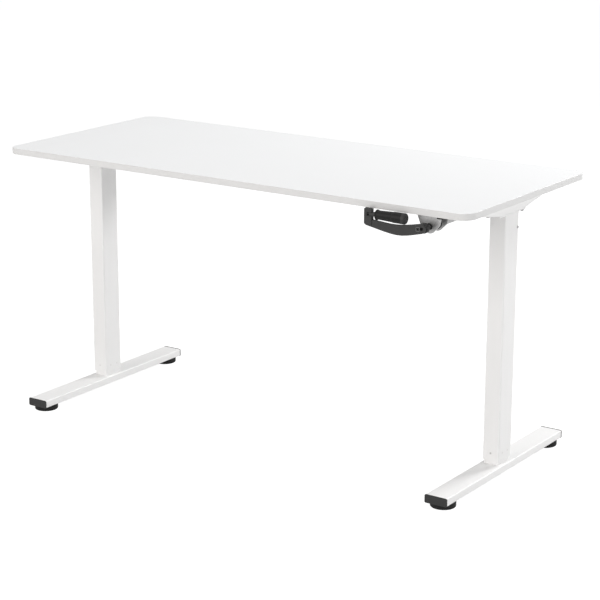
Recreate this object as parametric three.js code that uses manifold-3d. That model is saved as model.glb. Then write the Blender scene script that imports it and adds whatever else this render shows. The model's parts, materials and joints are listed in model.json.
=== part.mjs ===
// Height adjustable standing desk, raised and lowered by a hand crank under the front edge.
// Millimetres. X is to the right of the person sitting at the desk, Y points away from them,
// Z is up from the floor. The model shows the desk at its lowest height, with the crank at rest.

import * as THREE from 'three';
import { mergeVertices } from 'three/addons/utils/BufferGeometryUtils.js';
import Module from 'manifold-3d';

const wasm = await Module();
wasm.setup();

// ---------------------------------------------------------------- driving dimensions

// Clearances
const SEAT_GAP = 0.1; // between faces that are screwed, welded or glued together
const FIT_GAP = 0.3; // between a fixed piece and the opening that it sits in
const RUNNING_GAP = 0.5; // between a turning or sliding piece and what it passes

// Worktop
const TOP_LENGTH = 1400;
const TOP_DEPTH = 600;
const TOP_THICKNESS = 16;
const TOP_CORNER_RADIUS = 35;
const BAND_THICKNESS = 1;
const LOWEST_HEIGHT = 725;
const LIFT_STROKE = 450;
const LEG_INSET = 71; // leg's axis from the end of the worktop
const TOP_FORWARD = 2; // worktop's middle in front of the legs' axes

// Feet
const FOOT_LENGTH = 594;
const FOOT_WIDTH = 60;
const FOOT_HEIGHT = 20;
const FOOT_WALL = 2;
const FOOT_CORNER_RADIUS = 3;
const CAP_THICKNESS = 2;
const CAP_RIM = 0.8; // cap's edge beyond the tube's faces
const CAP_PLUG_LENGTH = 14;
const PAD_HEIGHT = 13.5;
const PAD_DIAMETER = 63;
const PAD_INSET = 36; // from the end of the foot to the middle of the pad
const PAD_BEVEL = 2;
const STEM_DIAMETER = 8;
const STEM_LENGTH = 15;

// Columns
const OUTER_TUBE_WIDTH = 45;
const OUTER_TUBE_DEPTH = 65;
const OUTER_TUBE_CORNER_RADIUS = 4;
const INNER_TUBE_WIDTH = 39;
const INNER_TUBE_DEPTH = 59;
const INNER_TUBE_CORNER_RADIUS = 3;
const INNER_TUBE_HEADROOM = 35; // inner tube's end below the gearbox
const TUBE_WALL = 1.5;
const COLUMN_LIFT_OFF = 11; // outer tube's lower end above the foot
const GLIDE_HEIGHT = 50;
const BASE_PLATE_THICKNESS = 4;
const NUT_TUBE_DIAMETER = 24;
const NUT_TUBE_WALL = 2;
const NUT_HEIGHT = 24;
const NUT_DROP = 1; // nut's top below the end of the inner tube
const SCREW_DIAMETER = 12;
const SCREW_RESERVE = 5; // of the screw below the nut when the desk is fully raised
const JOURNAL_DIAMETER = 8;
const JOURNAL_LENGTH = 9;
const SCREW_END_BEVEL = 2;

// Frame under the worktop
const SIDE_ARM_LENGTH = 570;
const SIDE_ARM_WIDTH = 45;
const SIDE_ARM_DEPTH = 39;
const SIDE_ARM_FLAT = 120; // level middle stretch of the arm's lower edge
const SIDE_ARM_TAB = 15; // level tab at each end, screwed to the worktop
const SIDE_ARM_WALL = 2.5;
const HEAD_PLATE_LENGTH = 130;
const HEAD_PLATE_THICKNESS = 3;
const RAIL_DEPTH = 40;
const RAIL_HEIGHT = 18;
const RAIL_WALL = 1.5;
const RAIL_OFFSET = 40; // rail's middle in front of and behind the column
const RAIL_END_INSET = 8; // rail's end from the outer face of the side arm
const LEFT_RAIL_LENGTH = 780;
const RAIL_OVERLAP = 190; // right rail's length inside the left rail

// Gears and shaft
const SHAFT_DROP = 27.5; // shaft axis below the worktop
const HEX_ACROSS_FLATS = 8;
const GEAR_TEETH = 16;
const GEAR_RADIUS = 12; // pitch circle at the wide end
const GEAR_FACE_SHARE = 0.6; // narrow end's size against the wide end
const TOOTH_ADDENDUM = 1.2;
const TOOTH_DEDENDUM = 1.4;
const TOOTH_HALF_WIDTH = 0.95; // on the pitch circle, which leaves backlash
const PRESSURE_ANGLE = THREE.MathUtils.degToRad(20);
const GEAR_HUB_DIAMETER = 17;
const SHAFT_GEAR_HUB_LENGTH = 4;
const SCREW_GEAR_HUB_LENGTH = 5;
const GEARBOX_WALL = 2;
const GEARBOX_HEIGHT = 53;
const GEARBOX_RISE = 19; // gearbox's upper edge above the shaft axis
const GEARBOX_FLANGE_DEPTH = 64;
const GEARBOX_FLANGE_THICKNESS = 3;
const CRANK_GEARBOX_FLANGE_REACH = 18;
const BEARING_HEIGHT = 10;
const BEARING_DIAMETER = 27;
const BEARING_LIP_HEIGHT = 3;
const BEARING_LIP_BORE = 18;

// Crank
const CRANK_FROM_LEG = 40.5; // crank axis inboard of the right leg's axis
const GRIP_EDGE_GAP = 1; // from the back of the grip to the worktop's front edge
const GRIP_RISE = 17.2; // grip's axis above the crank axis
const GRIP_RADIUS = 13;
const GRIP_NECK_RADIUS = 10.8;
const GRIP_FLANGE_RADIUS = 12.5;
const GRIP_FLANGE_LENGTH = 3;
const GRIP_WAIST_RADIUS = 12.2; // where the taper ends
const GRIP_TAPER_LENGTH = 45; // from the grip's near end to the step up to its full width
const GRIP_STEP_LENGTH = 1.5;
const GRIP_LENGTH = 79;
const GRIP_START = 17.7; // from the hinge pin to the grip's near end
const GRIP_CAP_LENGTH = 9;
const SPINDLE_DIAMETER = 5;
const SHOULDER_DIAMETER = 11; // of the spindle, between the hinge and the grip
const SHOULDER_START = 8.6; // from the hinge pin
const EYE_DIAMETER = 8;
const EYE_HEIGHT = 7.6;
const HINGE_PIN_DIAMETER = 4;
const CRANK_REACH = 140; // from the crank axis to the hinge pin
const CRANK_HEAD_OUTER = 14.2; // head's far face from the hinge pin
const CRANK_HEAD_INNER = 5.8; // head's near face from the hinge pin
const CRANK_HEAD_DEPTH = 10.5;
const CRANK_HEAD_WEB = 7.2; // solid end of the head beyond the slot
const CRANK_HEAD_TOP = 33; // head's upper edge above the crank axis
const CRANK_HEAD_BELOW = 10; // head's lower edge below the crank axis
const CRANK_HEAD_BACK_DROP = 3.5; // head's top is lower at the back by this much
const CRANK_HEAD_BEVEL_WIDTH = 6;
const CRANK_HEAD_BEVEL_HEIGHT = 4;
const HINGE_SLOT_HEIGHT = 8.8;
const CRANK_ARM_THICKNESS = 8;
const CRANK_HUB_RADIUS = 11.5;
const CRANK_HUB_SHIFT = 2.3; // hub's round end towards the head
const CRANK_HUB_START = -82; // degrees, where the arm's lower edge meets the hub
const CRANK_HUB_END = 100; // degrees, where the arm's upper edge leaves the hub
const CRANK_DIP = 27; // the arm's lower edge is drawn down towards this depth
const CRANK_HOLLOW = 5; // the arm's upper edge is drawn down towards this depth
const CRANK_RISE = 1; // and then up past this height on its way to the head
const CRANK_SHOULDER = 4; // the arm's upper edge at the head, above the crank axis
const BOLT_WELL_DIAMETER = 8;
const BOLT_RECESS = 3; // bolt's head below the arm's front face
const BOLT_HEAD_DIAMETER = 7.4;
const BOLT_HEAD_HEIGHT = 2.4;
const BOLT_SHANK_DIAMETER = 4;
const BOLT_SHANK_LENGTH = 12;
const HUB_WEB = 1.2; // wall of the arm between the bolt's head and the rod
const CRANK_ROD_LENGTH = 206;
const COLLAR_DIAMETER = 24;
const COLLAR_LENGTH = 10.5;
const SLEEVE_DIAMETER = 18.5;
const SLEEVE_END_GAP = 2; // between the sleeve and the front bush
const STUB_LENGTH = 12;
const BRACKET_INSET = 18; // front ear behind the worktop's front edge
const BRACKET_LENGTH = 132;
const BRACKET_RIGHT_REACH = 17.4; // plate's right edge from the crank axis
const EAR_RADIUS = 17;
const EAR_THICKNESS = 3;
const EAR_SPACING = 33.5;
const EAR_TOP_REACH = 34.5; // ear's upper left corner from the crank axis
const EAR_LEFT_REACH = 25.5;
const EAR_LEFT_RISE = 4.5;
const EAR_WAIST_REACH = 26.5; // ear's corner beside its round end
const EAR_WAIST_RISE = 2.5;
const EAR_RIGHT_REACH = 30.3;
const EAR_RIGHT_RISE = 19.5;
const EAR_ROUND_START = 202; // degrees, where the ear's round end begins
const EAR_ROUND_END = 325;
const BUSH_WALL = 2;
const BUSH_FLANGE_THICKNESS = 1.2;
const BUSH_FLANGE_REACH = 0.8;
const BUSH_OVERHANG = 5; // bush's length behind its ear

const ROUND_STEPS = 24; // faces round a full circle
const SMALL_ROUND_STEPS = 12; // faces round a pin or a thin rod
const CORNER_STEPS = 4; // faces round a tube's corner
const OVERCUT = 1; // a cutting shape runs past the surface that it cuts by this much

// ---------------------------------------------------------------- heights and places

const LEG_X = TOP_LENGTH / 2 - LEG_INSET;
const UNDERSIDE = LOWEST_HEIGHT - TOP_THICKNESS;
const ARM_TOP = UNDERSIDE - SEAT_GAP;
const ARM_BOTTOM = ARM_TOP - SIDE_ARM_DEPTH;
const HEAD_PLATE_BOTTOM = ARM_BOTTOM - SEAT_GAP - HEAD_PLATE_THICKNESS;
const COLUMN_TOP = HEAD_PLATE_BOTTOM - SEAT_GAP;
const FOOT_BOTTOM = PAD_HEIGHT;
const FOOT_TOP = FOOT_BOTTOM + FOOT_HEIGHT;
const OUTER_TUBE_BOTTOM = FOOT_TOP + COLUMN_LIFT_OFF;
const INNER_TUBE_BOTTOM = FOOT_TOP + SEAT_GAP;
const BASE_PLATE_TOP = INNER_TUBE_BOTTOM + BASE_PLATE_THICKNESS;
const SHAFT_HEIGHT = UNDERSIDE - SHAFT_DROP;
const HEX_RADIUS = HEX_ACROSS_FLATS / 2 / Math.cos(Math.PI / 6);
const GEAR_TIP_RADIUS = GEAR_RADIUS + TOOTH_ADDENDUM;
const GEARBOX_CAVITY = 2 * (GEAR_RADIUS + SHAFT_GEAR_HUB_LENGTH + RUNNING_GAP);
const GEARBOX_WIDTH = GEARBOX_CAVITY + 2 * GEARBOX_WALL;
const GEARBOX_TOP = SHAFT_HEIGHT + GEARBOX_RISE;
const GEARBOX_BOTTOM = GEARBOX_TOP - GEARBOX_HEIGHT;
const INNER_TUBE_TOP = GEARBOX_BOTTOM - INNER_TUBE_HEADROOM;
const NUT_TOP = INNER_TUBE_TOP - NUT_DROP;
const NUT_BOTTOM = NUT_TOP - NUT_HEIGHT;
const SCREW_BOTTOM = NUT_BOTTOM - LIFT_STROKE - SCREW_RESERVE;
const SCREW_GEAR_BOTTOM = SHAFT_HEIGHT - GEAR_RADIUS - SCREW_GEAR_HUB_LENGTH;
const GEARBOX_FLOOR = SCREW_GEAR_BOTTOM - RUNNING_GAP;
const BEARING_BOTTOM = GEARBOX_BOTTOM + BEARING_LIP_HEIGHT + FIT_GAP;
const SCREW_SHOULDER = SCREW_GEAR_BOTTOM - FIT_GAP;
const RAIL_TOP = ARM_TOP - FIT_GAP;
const RAIL_MIDDLE = RAIL_TOP - RAIL_HEIGHT / 2;

const CRANK_X = LEG_X - CRANK_FROM_LEG;
const TOP_FRONT = -TOP_DEPTH / 2 - TOP_FORWARD;
const CRANK_PLANE = TOP_FRONT - GRIP_EDGE_GAP - GRIP_RADIUS;
const ARM_FRONT = CRANK_PLANE - CRANK_ARM_THICKNESS / 2;
const ARM_BACK = CRANK_PLANE + CRANK_ARM_THICKNESS / 2;
const BOLT_SEAT = ARM_FRONT + BOLT_RECESS + BOLT_HEAD_HEIGHT; // back of the bolt's head
const ROD_FRONT = BOLT_SEAT + HUB_WEB + SEAT_GAP;
const COLLAR_FRONT = ARM_BACK + SEAT_GAP;
const COLLAR_BACK = COLLAR_FRONT + COLLAR_LENGTH;
const FRONT_EAR = TOP_FRONT + BRACKET_INSET; // front face of the front ear
const REAR_EAR = FRONT_EAR + EAR_SPACING;
const SLEEVE_FRONT = FRONT_EAR + EAR_THICKNESS + BUSH_OVERHANG + SLEEVE_END_GAP;
const SLEEVE_BORE_RADIUS = HEX_RADIUS + RUNNING_GAP;
const GEAR_BACK = -GEAR_RADIUS - SHAFT_GEAR_HUB_LENGTH; // hub's end, from the gear's apex

// ---------------------------------------------------------------- outlines and solids

function arcPoints(centreX, centreY, radius, from, to, steps) {
  const points = [];
  for (let step = 0; step <= steps; step += 1) {
    const angle = from + ((to - from) * step) / steps;
    const x = centreX + radius * Math.cos(angle);
    const y = centreY + radius * Math.sin(angle);
    points.push(new THREE.Vector2(x, y));
  }
  return points;
}

function circle(radius, steps = ROUND_STEPS) {
  return arcPoints(0, 0, radius, 0, 2 * Math.PI, steps).slice(0, -1);
}

function hexagon(radius) {
  return circle(radius, 6);
}

function rectangle(width, depth) {
  const x = width / 2;
  const y = depth / 2;
  const corners = [[-x, -y], [x, -y], [x, y], [-x, y]];
  return corners.map((corner) => new THREE.Vector2(...corner));
}

function roundedRectangle(width, depth, radius, steps = CORNER_STEPS) {
  const x = width / 2 - radius;
  const y = depth / 2 - radius;
  const quarter = Math.PI / 2;
  return [
    ...arcPoints(x, y, radius, 0, quarter, steps),
    ...arcPoints(-x, y, radius, quarter, 2 * quarter, steps),
    ...arcPoints(-x, -y, radius, 2 * quarter, 3 * quarter, steps),
    ...arcPoints(x, -y, radius, 3 * quarter, 4 * quarter, steps),
  ];
}

// An outline, with an optional hole, stood up along Z between two heights.
function extrude(outline, from, to, hole = null) {
  const shape = new THREE.Shape(outline);
  if (hole) shape.holes.push(new THREE.Path(hole));
  const geometry = new THREE.ExtrudeGeometry(shape, { depth: to - from, bevelEnabled: false });
  return geometry.translate(0, 0, from);
}

// The outline's x and y become the model's X and Z, and it runs along Y.
function extrudeAlongY(outline, from, to, hole = null) {
  return extrude(outline, -to, -from, hole).rotateX(Math.PI / 2);
}

// The outline's x and y become the model's Y and Z, and it runs along X.
function extrudeAlongX(outline, from, to, hole = null) {
  const xAxis = new THREE.Vector3(1, 0, 0);
  const yAxis = new THREE.Vector3(0, 1, 0);
  const zAxis = new THREE.Vector3(0, 0, 1);
  const turn = new THREE.Matrix4().makeBasis(yAxis, zAxis, xAxis);
  return extrude(outline, from, to, hole).applyMatrix4(turn);
}

function block(width, depth, from, to) {
  return extrude(rectangle(width, depth), from, to);
}

// A profile of [radius, height] points turned about Z. It starts and ends on the axis.
function turned(profile, steps = ROUND_STEPS) {
  const points = profile.map((point) => new THREE.Vector2(...point));
  return new THREE.LatheGeometry(points, steps).rotateX(Math.PI / 2);
}

function toSolid(geometry) {
  const bare = geometry.clone();
  bare.deleteAttribute('normal');
  bare.deleteAttribute('uv');
  const merged = mergeVertices(bare, 1e-4);
  const mesh = new wasm.Mesh({
    numProp: 3,
    vertProperties: new Float32Array(merged.attributes.position.array),
    triVerts: new Uint32Array(merged.index.array),
  });
  return new wasm.Manifold(mesh);
}

function toGeometry(solid) {
  const mesh = solid.getMesh();
  const geometry = new THREE.BufferGeometry();
  geometry.setAttribute('position', new THREE.BufferAttribute(mesh.vertProperties, 3));
  geometry.setIndex(new THREE.BufferAttribute(mesh.triVerts, 1));
  return geometry;
}

function join(...geometries) {
  return toGeometry(geometries.map(toSolid).reduce((sum, solid) => sum.add(solid)));
}

function cut(geometry, ...tools) {
  return toGeometry(tools.map(toSolid).reduce((rest, tool) => rest.subtract(tool), toSolid(geometry)));
}

// ---------------------------------------------------------------- finishes

const finish = {
  laminate: { color: 0xf4f4f6, roughness: 0.35, metalness: 0 },
  edging: { color: 0xdad9d7, roughness: 0.45, metalness: 0 },
  whitePaint: { color: 0xeeece9, roughness: 0.4, metalness: 0.1 },
  blackPlastic: { color: 0x1c1c1c, roughness: 0.6, metalness: 0 },
  blackPaint: { color: 0x3c3c3c, roughness: 0.5, metalness: 0.3 },
  whitePlastic: { color: 0xe8e8e4, roughness: 0.5, metalness: 0 },
  greyPlastic: { color: 0x8c8c8c, roughness: 0.55, metalness: 0 },
  zincSteel: { color: 0x9a9a98, roughness: 0.35, metalness: 0.9 },
  gearSteel: { color: 0x7d7d7b, roughness: 0.4, metalness: 0.9 },
};

const desk = new THREE.Group();

function piece(parent, name, geometry, look) {
  const mesh = new THREE.Mesh(geometry, new THREE.MeshStandardMaterial(look));
  mesh.name = name;
  parent.add(mesh);
  return mesh;
}

// ---------------------------------------------------------------- worktop

function addWorktop() {
  const boardInset = 2 * (BAND_THICKNESS + SEAT_GAP);
  const cornerSteps = 2 * CORNER_STEPS;
  const edge = roundedRectangle(TOP_LENGTH, TOP_DEPTH, TOP_CORNER_RADIUS, cornerSteps);
  const bandInside = roundedRectangle(
    TOP_LENGTH - 2 * BAND_THICKNESS,
    TOP_DEPTH - 2 * BAND_THICKNESS,
    TOP_CORNER_RADIUS - BAND_THICKNESS,
    cornerSteps,
  );
  const board = roundedRectangle(
    TOP_LENGTH - boardInset,
    TOP_DEPTH - boardInset,
    TOP_CORNER_RADIUS - boardInset / 2,
    cornerSteps,
  );
  const boardBody = extrude(board, UNDERSIDE, LOWEST_HEIGHT);
  const bandBody = extrude(edge, UNDERSIDE, LOWEST_HEIGHT, bandInside);
  piece(desk, 'desktop', boardBody, finish.laminate).position.y = -TOP_FORWARD;
  piece(desk, 'edge_band', bandBody, finish.edging).position.y = -TOP_FORWARD;
}

// ---------------------------------------------------------------- bevel gears

// A bevel gear on the Z axis, with its apex at the origin and its wide end below it. Every
// tooth face runs to the apex, so two such gears mesh at a right angle.
function bevelGear(hubLength, toothPhase) {
  const outline = [];
  const pitchAngle = (2 * Math.PI) / GEAR_TEETH;
  const rootRadius = GEAR_RADIUS - TOOTH_DEDENDUM;
  const rootHalf = (TOOTH_HALF_WIDTH + TOOTH_DEDENDUM * Math.tan(PRESSURE_ANGLE)) / rootRadius;
  const tipHalf = (TOOTH_HALF_WIDTH - TOOTH_ADDENDUM * Math.tan(PRESSURE_ANGLE)) / GEAR_TIP_RADIUS;
  for (let tooth = 0; tooth < GEAR_TEETH; tooth += 1) {
    const middle = tooth * pitchAngle + toothPhase;
    const flanks = [
      [rootRadius, middle - rootHalf],
      [GEAR_TIP_RADIUS, middle - tipHalf],
      [GEAR_TIP_RADIUS, middle + tipHalf],
      [rootRadius, middle + rootHalf],
    ];
    for (const [radius, angle] of flanks) {
      outline.push(new THREE.Vector2(radius * Math.cos(angle), radius * Math.sin(angle)));
    }
  }
  const teeth = extrude(outline, 0, 1);
  const places = teeth.attributes.position;
  for (let index = 0; index < places.count; index += 1) {
    const scale = 1 - places.getZ(index) * (1 - GEAR_FACE_SHARE);
    places.setXYZ(
      index,
      places.getX(index) * scale,
      places.getY(index) * scale,
      -GEAR_RADIUS * scale,
    );
  }
  const hubTop = -GEAR_RADIUS + OVERCUT;
  const hub = extrude(circle(GEAR_HUB_DIAMETER / 2), -GEAR_RADIUS - hubLength, hubTop);
  return join(teeth, hub);
}

function boredGear(hubLength, toothPhase, boreRadius) {
  const gear = bevelGear(hubLength, toothPhase);
  const bore = extrude(circle(boreRadius), -2 * GEAR_RADIUS - hubLength, 0);
  return cut(gear, bore);
}

const HALF_TOOTH = Math.PI / GEAR_TEETH;

// ---------------------------------------------------------------- legs

function addFoot(leg, side) {
  const tubeOutline = roundedRectangle(FOOT_WIDTH, FOOT_HEIGHT, FOOT_CORNER_RADIUS);
  const capOutline = roundedRectangle(
    FOOT_WIDTH + 2 * CAP_RIM,
    FOOT_HEIGHT + 2 * CAP_RIM,
    FOOT_CORNER_RADIUS + CAP_RIM,
  );
  const hollow = roundedRectangle(
    FOOT_WIDTH - 2 * FOOT_WALL,
    FOOT_HEIGHT - 2 * FOOT_WALL,
    FOOT_CORNER_RADIUS - FOOT_WALL,
  );
  const plug = roundedRectangle(
    FOOT_WIDTH - 2 * FOOT_WALL - 2 * FIT_GAP,
    FOOT_HEIGHT - 2 * FOOT_WALL - 2 * FIT_GAP,
    FOOT_CORNER_RADIUS - FOOT_WALL,
  );
  const middle = FOOT_BOTTOM + FOOT_HEIGHT / 2;
  const tubeEnd = FOOT_LENGTH / 2 - CAP_THICKNESS - SEAT_GAP;
  const padY = FOOT_LENGTH / 2 - PAD_INSET;
  const tube = extrudeAlongY(tubeOutline, -tubeEnd, tubeEnd, hollow).translate(0, 0, middle);
  const stemHole = extrude(
    circle(STEM_DIAMETER / 2 + RUNNING_GAP),
    FOOT_BOTTOM - FOOT_WALL,
    FOOT_BOTTOM + 2 * FOOT_WALL,
  );
  const stemHoles = [-padY, padY].map((y) => stemHole.clone().translate(0, y, 0));
  piece(leg, `foot_tube_${side}`, cut(tube, ...stemHoles), finish.whitePaint);

  const flange = extrudeAlongY(capOutline, -CAP_THICKNESS, 0);
  const plugBody = extrudeAlongY(plug, -SEAT_GAP, CAP_PLUG_LENGTH);
  for (const [end, sign] of [['front', 1], ['back', -1]]) {
    const cap = piece(leg, `foot_cap_${side}_${end}`, join(flange, plugBody), finish.blackPlastic);
    cap.position.set(0, -sign * (FOOT_LENGTH / 2 - CAP_THICKNESS), middle);
    cap.rotation.z = sign > 0 ? 0 : Math.PI;
    const pad = piece(leg, `levelling_foot_${side}_${end}`, levellingFoot(), finish.blackPlastic);
    pad.position.y = -sign * padY;
  }
}

// A round pad on the threaded stem that screws into the foot.
function levellingFoot() {
  const edge = PAD_DIAMETER / 2;
  const padTop = PAD_HEIGHT - SEAT_GAP;
  return turned([
    [0, 0],
    [edge - PAD_BEVEL, 0],
    [edge, PAD_BEVEL],
    [edge, padTop],
    [STEM_DIAMETER / 2, padTop],
    [STEM_DIAMETER / 2, PAD_HEIGHT + STEM_LENGTH],
    [0, PAD_HEIGHT + STEM_LENGTH],
  ]);
}

function tubeOutlines(width, depth, radius) {
  const inside = roundedRectangle(
    width - 2 * TUBE_WALL,
    depth - 2 * TUBE_WALL,
    radius - TUBE_WALL,
  );
  return [roundedRectangle(width, depth, radius), inside];
}

function addInnerColumn(leg, side) {
  const [outside, inside] = tubeOutlines(
    INNER_TUBE_WIDTH,
    INNER_TUBE_DEPTH,
    INNER_TUBE_CORNER_RADIUS,
  );
  const column = extrude(outside, INNER_TUBE_BOTTOM, INNER_TUBE_TOP, inside);
  piece(leg, `inner_column_${side}`, column, finish.whitePaint);

  const cavityWidth = INNER_TUBE_WIDTH - 2 * TUBE_WALL - 2 * FIT_GAP;
  const cavityDepth = INNER_TUBE_DEPTH - 2 * TUBE_WALL - 2 * FIT_GAP;
  const filling = roundedRectangle(
    cavityWidth,
    cavityDepth,
    INNER_TUBE_CORNER_RADIUS - TUBE_WALL,
  );
  const plate = extrude(filling, INNER_TUBE_BOTTOM, BASE_PLATE_TOP);
  piece(leg, `base_plate_${side}`, plate, finish.zincSteel);

  const nutTube = extrude(
    circle(NUT_TUBE_DIAMETER / 2),
    BASE_PLATE_TOP + SEAT_GAP,
    NUT_BOTTOM - SEAT_GAP,
    circle(NUT_TUBE_DIAMETER / 2 - NUT_TUBE_WALL),
  );
  piece(leg, `nut_tube_${side}`, nutTube, finish.zincSteel);

  const nutBore = circle(SCREW_DIAMETER / 2 + FIT_GAP);
  const nut = extrude(filling, NUT_BOTTOM, NUT_TOP, nutBore);
  piece(leg, `lead_nut_${side}`, nut, finish.whitePlastic);
}

// A plastic sleeve that fills the gap between the two tubes of a column.
function glide(bottom) {
  const outside = roundedRectangle(
    OUTER_TUBE_WIDTH - 2 * TUBE_WALL - 2 * FIT_GAP,
    OUTER_TUBE_DEPTH - 2 * TUBE_WALL - 2 * FIT_GAP,
    OUTER_TUBE_CORNER_RADIUS - TUBE_WALL,
  );
  const inside = roundedRectangle(
    INNER_TUBE_WIDTH + 2 * FIT_GAP,
    INNER_TUBE_DEPTH + 2 * FIT_GAP,
    INNER_TUBE_CORNER_RADIUS,
  );
  return extrude(outside, bottom, bottom + GLIDE_HEIGHT, inside);
}

function addOuterColumn(leg, side) {
  const [outside, inside] = tubeOutlines(
    OUTER_TUBE_WIDTH,
    OUTER_TUBE_DEPTH,
    OUTER_TUBE_CORNER_RADIUS,
  );
  const column = extrude(outside, OUTER_TUBE_BOTTOM, COLUMN_TOP, inside);
  piece(leg, `outer_column_${side}`, column, finish.whitePaint);
  piece(leg, `lower_glide_${side}`, glide(OUTER_TUBE_BOTTOM), finish.whitePlastic);
  piece(leg, `upper_glide_${side}`, glide(INNER_TUBE_TOP - GLIDE_HEIGHT), finish.whitePlastic);
}

function gearboxWindow(from, to) {
  const side = GEARBOX_WIDTH + 2 * FIT_GAP;
  return block(side, side, from, to);
}

// A folded channel, open towards the worktop, whose lower edge rises to a tab at each end.
function addSideArm(leg, side, inward) {
  const flat = SIDE_ARM_FLAT / 2;
  const end = SIDE_ARM_LENGTH / 2;
  const tab = end - SIDE_ARM_TAB;
  const tabBottom = ARM_TOP - SIDE_ARM_WALL;
  const lowerEdge = [[-end, tabBottom], [-tab, tabBottom], [-flat, ARM_BOTTOM]];
  const mirrored = lowerEdge.map(([y, z]) => [-y, z]).reverse();
  const profile = [...lowerEdge, ...mirrored, [end, ARM_TOP], [-end, ARM_TOP]];
  const outline = profile.map((point) => new THREE.Vector2(...point));
  const body = extrudeAlongX(outline, -SIDE_ARM_WIDTH / 2, SIDE_ARM_WIDTH / 2);

  const trough = [
    [-tab, ARM_TOP + SIDE_ARM_WALL],
    [-tab, ARM_TOP],
    [-flat, ARM_BOTTOM + SIDE_ARM_WALL],
    [flat, ARM_BOTTOM + SIDE_ARM_WALL],
    [tab, ARM_TOP],
    [tab, ARM_TOP + SIDE_ARM_WALL],
  ];
  const troughOutline = trough.map((point) => new THREE.Vector2(...point));
  const halfInside = SIDE_ARM_WIDTH / 2 - SIDE_ARM_WALL;
  const hollow = extrudeAlongX(troughOutline, -halfInside, halfInside);

  const wall = inward * (SIDE_ARM_WIDTH / 2 - SIDE_ARM_WALL / 2);
  const shaftHole = extrudeAlongX(
    circle(HEX_RADIUS + 2 * RUNNING_GAP),
    wall - SIDE_ARM_WALL,
    wall + SIDE_ARM_WALL,
  ).translate(0, 0, SHAFT_HEIGHT);
  const notchSize = rectangle(RAIL_DEPTH + 2 * FIT_GAP, 2 * (RAIL_HEIGHT + 2 * FIT_GAP));
  const notches = [-RAIL_OFFSET, RAIL_OFFSET].map((y) => extrudeAlongX(
    notchSize,
    wall - SIDE_ARM_WALL,
    wall + SIDE_ARM_WALL,
  ).translate(0, y, ARM_TOP));
  const window = gearboxWindow(ARM_BOTTOM - SIDE_ARM_WALL, ARM_BOTTOM + 2 * SIDE_ARM_WALL);
  piece(leg, `side_arm_${side}`, cut(body, hollow, shaftHole, window, ...notches), finish.whitePaint);

  const plate = block(SIDE_ARM_WIDTH, HEAD_PLATE_LENGTH, HEAD_PLATE_BOTTOM, ARM_BOTTOM - SEAT_GAP);
  const plateWindow = gearboxWindow(HEAD_PLATE_BOTTOM - OVERCUT, ARM_BOTTOM + OVERCUT);
  piece(leg, `head_plate_${side}`, cut(plate, plateWindow), finish.whitePaint);
}

function addLegGearbox(leg, side, inward) {
  const flangeBottom = ARM_BOTTOM + SIDE_ARM_WALL + SEAT_GAP;
  const flangeWidth = SIDE_ARM_WIDTH - 2 * SIDE_ARM_WALL - 2 * FIT_GAP;
  const body = join(
    block(GEARBOX_WIDTH, GEARBOX_WIDTH, GEARBOX_BOTTOM, GEARBOX_TOP),
    block(
      flangeWidth,
      GEARBOX_FLANGE_DEPTH,
      flangeBottom,
      flangeBottom + GEARBOX_FLANGE_THICKNESS,
    ),
  );
  const shaftHole = extrudeAlongX(
    circle(HEX_RADIUS + RUNNING_GAP),
    Math.min(0, inward * GEARBOX_WIDTH),
    Math.max(0, inward * GEARBOX_WIDTH),
  ).translate(0, 0, SHAFT_HEIGHT);
  const housing = cut(
    body,
    block(GEARBOX_CAVITY, GEARBOX_CAVITY, GEARBOX_FLOOR, GEARBOX_TOP + OVERCUT),
    extrude(
      circle(BEARING_DIAMETER / 2 + FIT_GAP),
      GEARBOX_BOTTOM + BEARING_LIP_HEIGHT,
      GEARBOX_FLOOR + OVERCUT,
    ),
    extrude(circle(BEARING_LIP_BORE / 2), GEARBOX_BOTTOM - OVERCUT, GEARBOX_FLOOR),
    shaftHole,
  );
  piece(leg, `gearbox_housing_${side}`, housing, finish.greyPlastic);

  const bearing = extrude(
    circle(BEARING_DIAMETER / 2),
    BEARING_BOTTOM,
    BEARING_BOTTOM + BEARING_HEIGHT,
    circle(SCREW_DIAMETER / 2 + FIT_GAP),
  );
  piece(leg, `screw_bearing_${side}`, bearing, finish.zincSteel);
}

function addLeadScrew(leg, side) {
  const radius = SCREW_DIAMETER / 2;
  const journal = JOURNAL_DIAMETER / 2;
  const screw = turned([
    [0, SCREW_BOTTOM],
    [radius - SCREW_END_BEVEL, SCREW_BOTTOM],
    [radius, SCREW_BOTTOM + SCREW_END_BEVEL],
    [radius, SCREW_SHOULDER],
    [journal, SCREW_SHOULDER],
    [journal, SCREW_SHOULDER + JOURNAL_LENGTH],
    [0, SCREW_SHOULDER + JOURNAL_LENGTH],
  ]);
  piece(leg, `lead_screw_${side}`, screw, finish.gearSteel);

  const gear = boredGear(SCREW_GEAR_HUB_LENGTH, HALF_TOOTH, journal + FIT_GAP);
  const mesh = piece(leg, `screw_gear_${side}`, gear, finish.gearSteel);
  mesh.position.z = SHAFT_HEIGHT;
}

function addLeg(side, sign) {
  const leg = new THREE.Group();
  const inward = -sign;
  leg.position.x = sign * LEG_X;
  addFoot(leg, side);
  addInnerColumn(leg, side);
  addOuterColumn(leg, side);
  addSideArm(leg, side, inward);
  addLegGearbox(leg, side, inward);
  addLeadScrew(leg, side);
  desk.add(leg);
}

// ---------------------------------------------------------------- rails and cross shaft

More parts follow.
